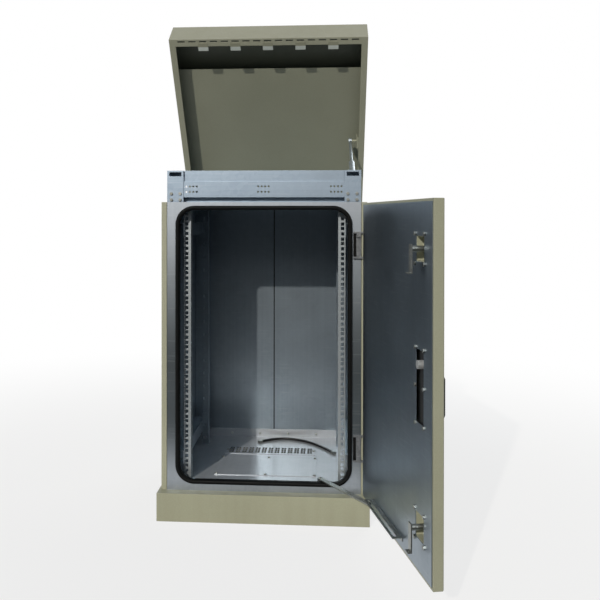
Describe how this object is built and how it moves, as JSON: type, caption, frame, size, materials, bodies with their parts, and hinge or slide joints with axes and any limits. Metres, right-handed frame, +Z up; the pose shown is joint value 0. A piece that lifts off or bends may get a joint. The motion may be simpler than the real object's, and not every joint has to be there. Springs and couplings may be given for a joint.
{
  "type": "roadside utility cabinet",
  "caption": "Roadside utility cabinet: rack rails in a galvanised inner case, painted skins on a plinth, hinged door on a stay and a slotted hood held by a gas strut.",
  "frame": {"origin": "centre of the four ground anchor holes, on the underside of the plinth", "axes": "+Z up, -Y towards the front, where the door is; +X to the right as seen from the front, towards the door hinges"},
  "size_m": [0.7604, 1.2487, 1.5086],
  "materials": {
    "painted_steel": "pebble-grey powder coat",
    "galvanised_steel": "bright galvanised sheet",
    "zinc_steel": "zinc-plated steel",
    "rubber": "black rubber",
    "black_plastic": "black moulded plastic",
    "strut_grey": "silver-grey lacquered tube"
  },
  "bodies": {
    "cabinet": {"ceiling_plate": "galvanised_steel", "door_seal": "rubber", "earth_lead": "rubber", "floor_grille": "galvanised_steel", "floor_screws": "zinc_steel", "floor_tray": "galvanised_steel", "front_frame": "galvanised_steel", "front_left_rail": "galvanised_steel", "front_right_rail": "galvanised_steel", "gland_plate": "galvanised_steel", "header_beam": "galvanised_steel", "header_screws": "zinc_steel", "hinge_brackets": "galvanised_steel", "hood_fixed_leaves": "zinc_steel", "lead_lugs": "zinc_steel", "left_header_bracket": "galvanised_steel", "left_inner_wall": "galvanised_steel", "left_rail_brackets": "galvanised_steel", "left_side_panel": "painted_steel", "left_top_rail": "galvanised_steel", "plinth": "painted_steel", "rear_beam": "galvanised_steel", "rear_left_rail": "galvanised_steel", "rear_panel": "painted_steel", "rear_right_rail": "galvanised_steel", "rear_wall_left": "galvanised_steel", "rear_wall_right": "galvanised_steel", "right_header_bracket": "galvanised_steel", "right_inner_wall": "galvanised_steel", "right_rail_brackets": "galvanised_steel", "right_side_panel": "painted_steel", "right_top_rail": "galvanised_steel", "stay_bracket": "zinc_steel", "strut_stud": "zinc_steel"},
    "door": {"door_shell": "painted_steel", "door_liner": "galvanised_steel", "hinge_leaves": "zinc_steel", "stay_rail": "zinc_steel", "latch_cases": "painted_steel", "lock_case": "black_plastic", "lock_base": "black_plastic", "latch_nuts": "zinc_steel"},
    "hood": {"hood_shell": "painted_steel", "hood_liner": "painted_steel", "hood_clips": "zinc_steel", "hood_moving_leaves": "zinc_steel", "strut_bracket": "zinc_steel"},
    "stay_arm": {"stay_arm": "zinc_steel"},
    "strut_cylinder": {"strut_cylinder": "strut_grey"},
    "strut_rod": {"strut_rod": "zinc_steel"},
    "top_cam": {"top_cam": "zinc_steel"},
    "bottom_cam": {"bottom_cam": "zinc_steel"},
    "lock_spindle": {"lock_spindle": "zinc_steel"},
    "handle": {"handle": "black_plastic"}
  },
  "joints": [
    {"name": "door_hinge", "type": "hinge", "parent": "cabinet", "child": "door", "pos_m": [0.305, -0.291, 0.5], "axis": [0, 0, 1], "range_deg": [-102, 0]},
    {"name": "hood_hinge", "type": "hinge", "parent": "cabinet", "child": "hood", "pos_m": [0, 0.2985, 0.9365], "axis": [-1, 0, 0], "range_deg": [-52.5, 0]},
    {"name": "stay_pivot", "type": "hinge", "parent": "cabinet", "child": "stay_arm", "pos_m": [0.167, -0.238, 0.118], "axis": [0, 0, 1], "range_deg": [-119.64, 0]},
    {"name": "strut_pivot", "type": "hinge", "parent": "cabinet", "child": "strut_cylinder", "pos_m": [0.266, -0.218, 0.952], "axis": [1, 0, 0], "range_deg": [-28.28, 0]},
    {"name": "strut_slide", "type": "slide", "parent": "strut_cylinder", "child": "strut_rod", "axis": [0, 0.8797, 0.4755], "range_m": [-0.16513, 0]},
    {"name": "lock_turn", "type": "hinge", "parent": "door", "child": "lock_spindle", "pos_m": [0.41145, -0.79181, 0.562], "axis": [-0.9781, -0.2079, 0], "range_deg": [0, 90]},
    {"name": "handle_lift", "type": "hinge", "parent": "lock_spindle", "child": "handle", "pos_m": [0.43199, -0.78744, 0.562], "axis": [0.2079, -0.9781, 0], "range_deg": [0, 60]},
    {"name": "top_cam_turn", "type": "hinge", "parent": "door", "child": "top_cam", "pos_m": [0.41145, -0.79181, 0.819], "axis": [-0.9781, -0.2079, 0], "range_deg": [0, 90]},
    {"name": "bottom_cam_turn", "type": "hinge", "parent": "door", "child": "bottom_cam", "pos_m": [0.41145, -0.79181, 0.201], "axis": [-0.9781, -0.2079, 0], "range_deg": [0, 90]}
  ],
  "couplings": [
    {"joint": "stay_pivot", "follows": "door_hinge", "ratio": 1.1729},
    {"joint": "strut_pivot", "follows": "hood_hinge", "ratio": 0.53869},
    {"joint": "strut_slide", "follows": "hood_hinge", "m_per_rad": 0.18021},
    {"joint": "top_cam_turn", "follows": "lock_turn", "ratio": 1},
    {"joint": "bottom_cam_turn", "follows": "lock_turn", "ratio": 1}
  ]
}
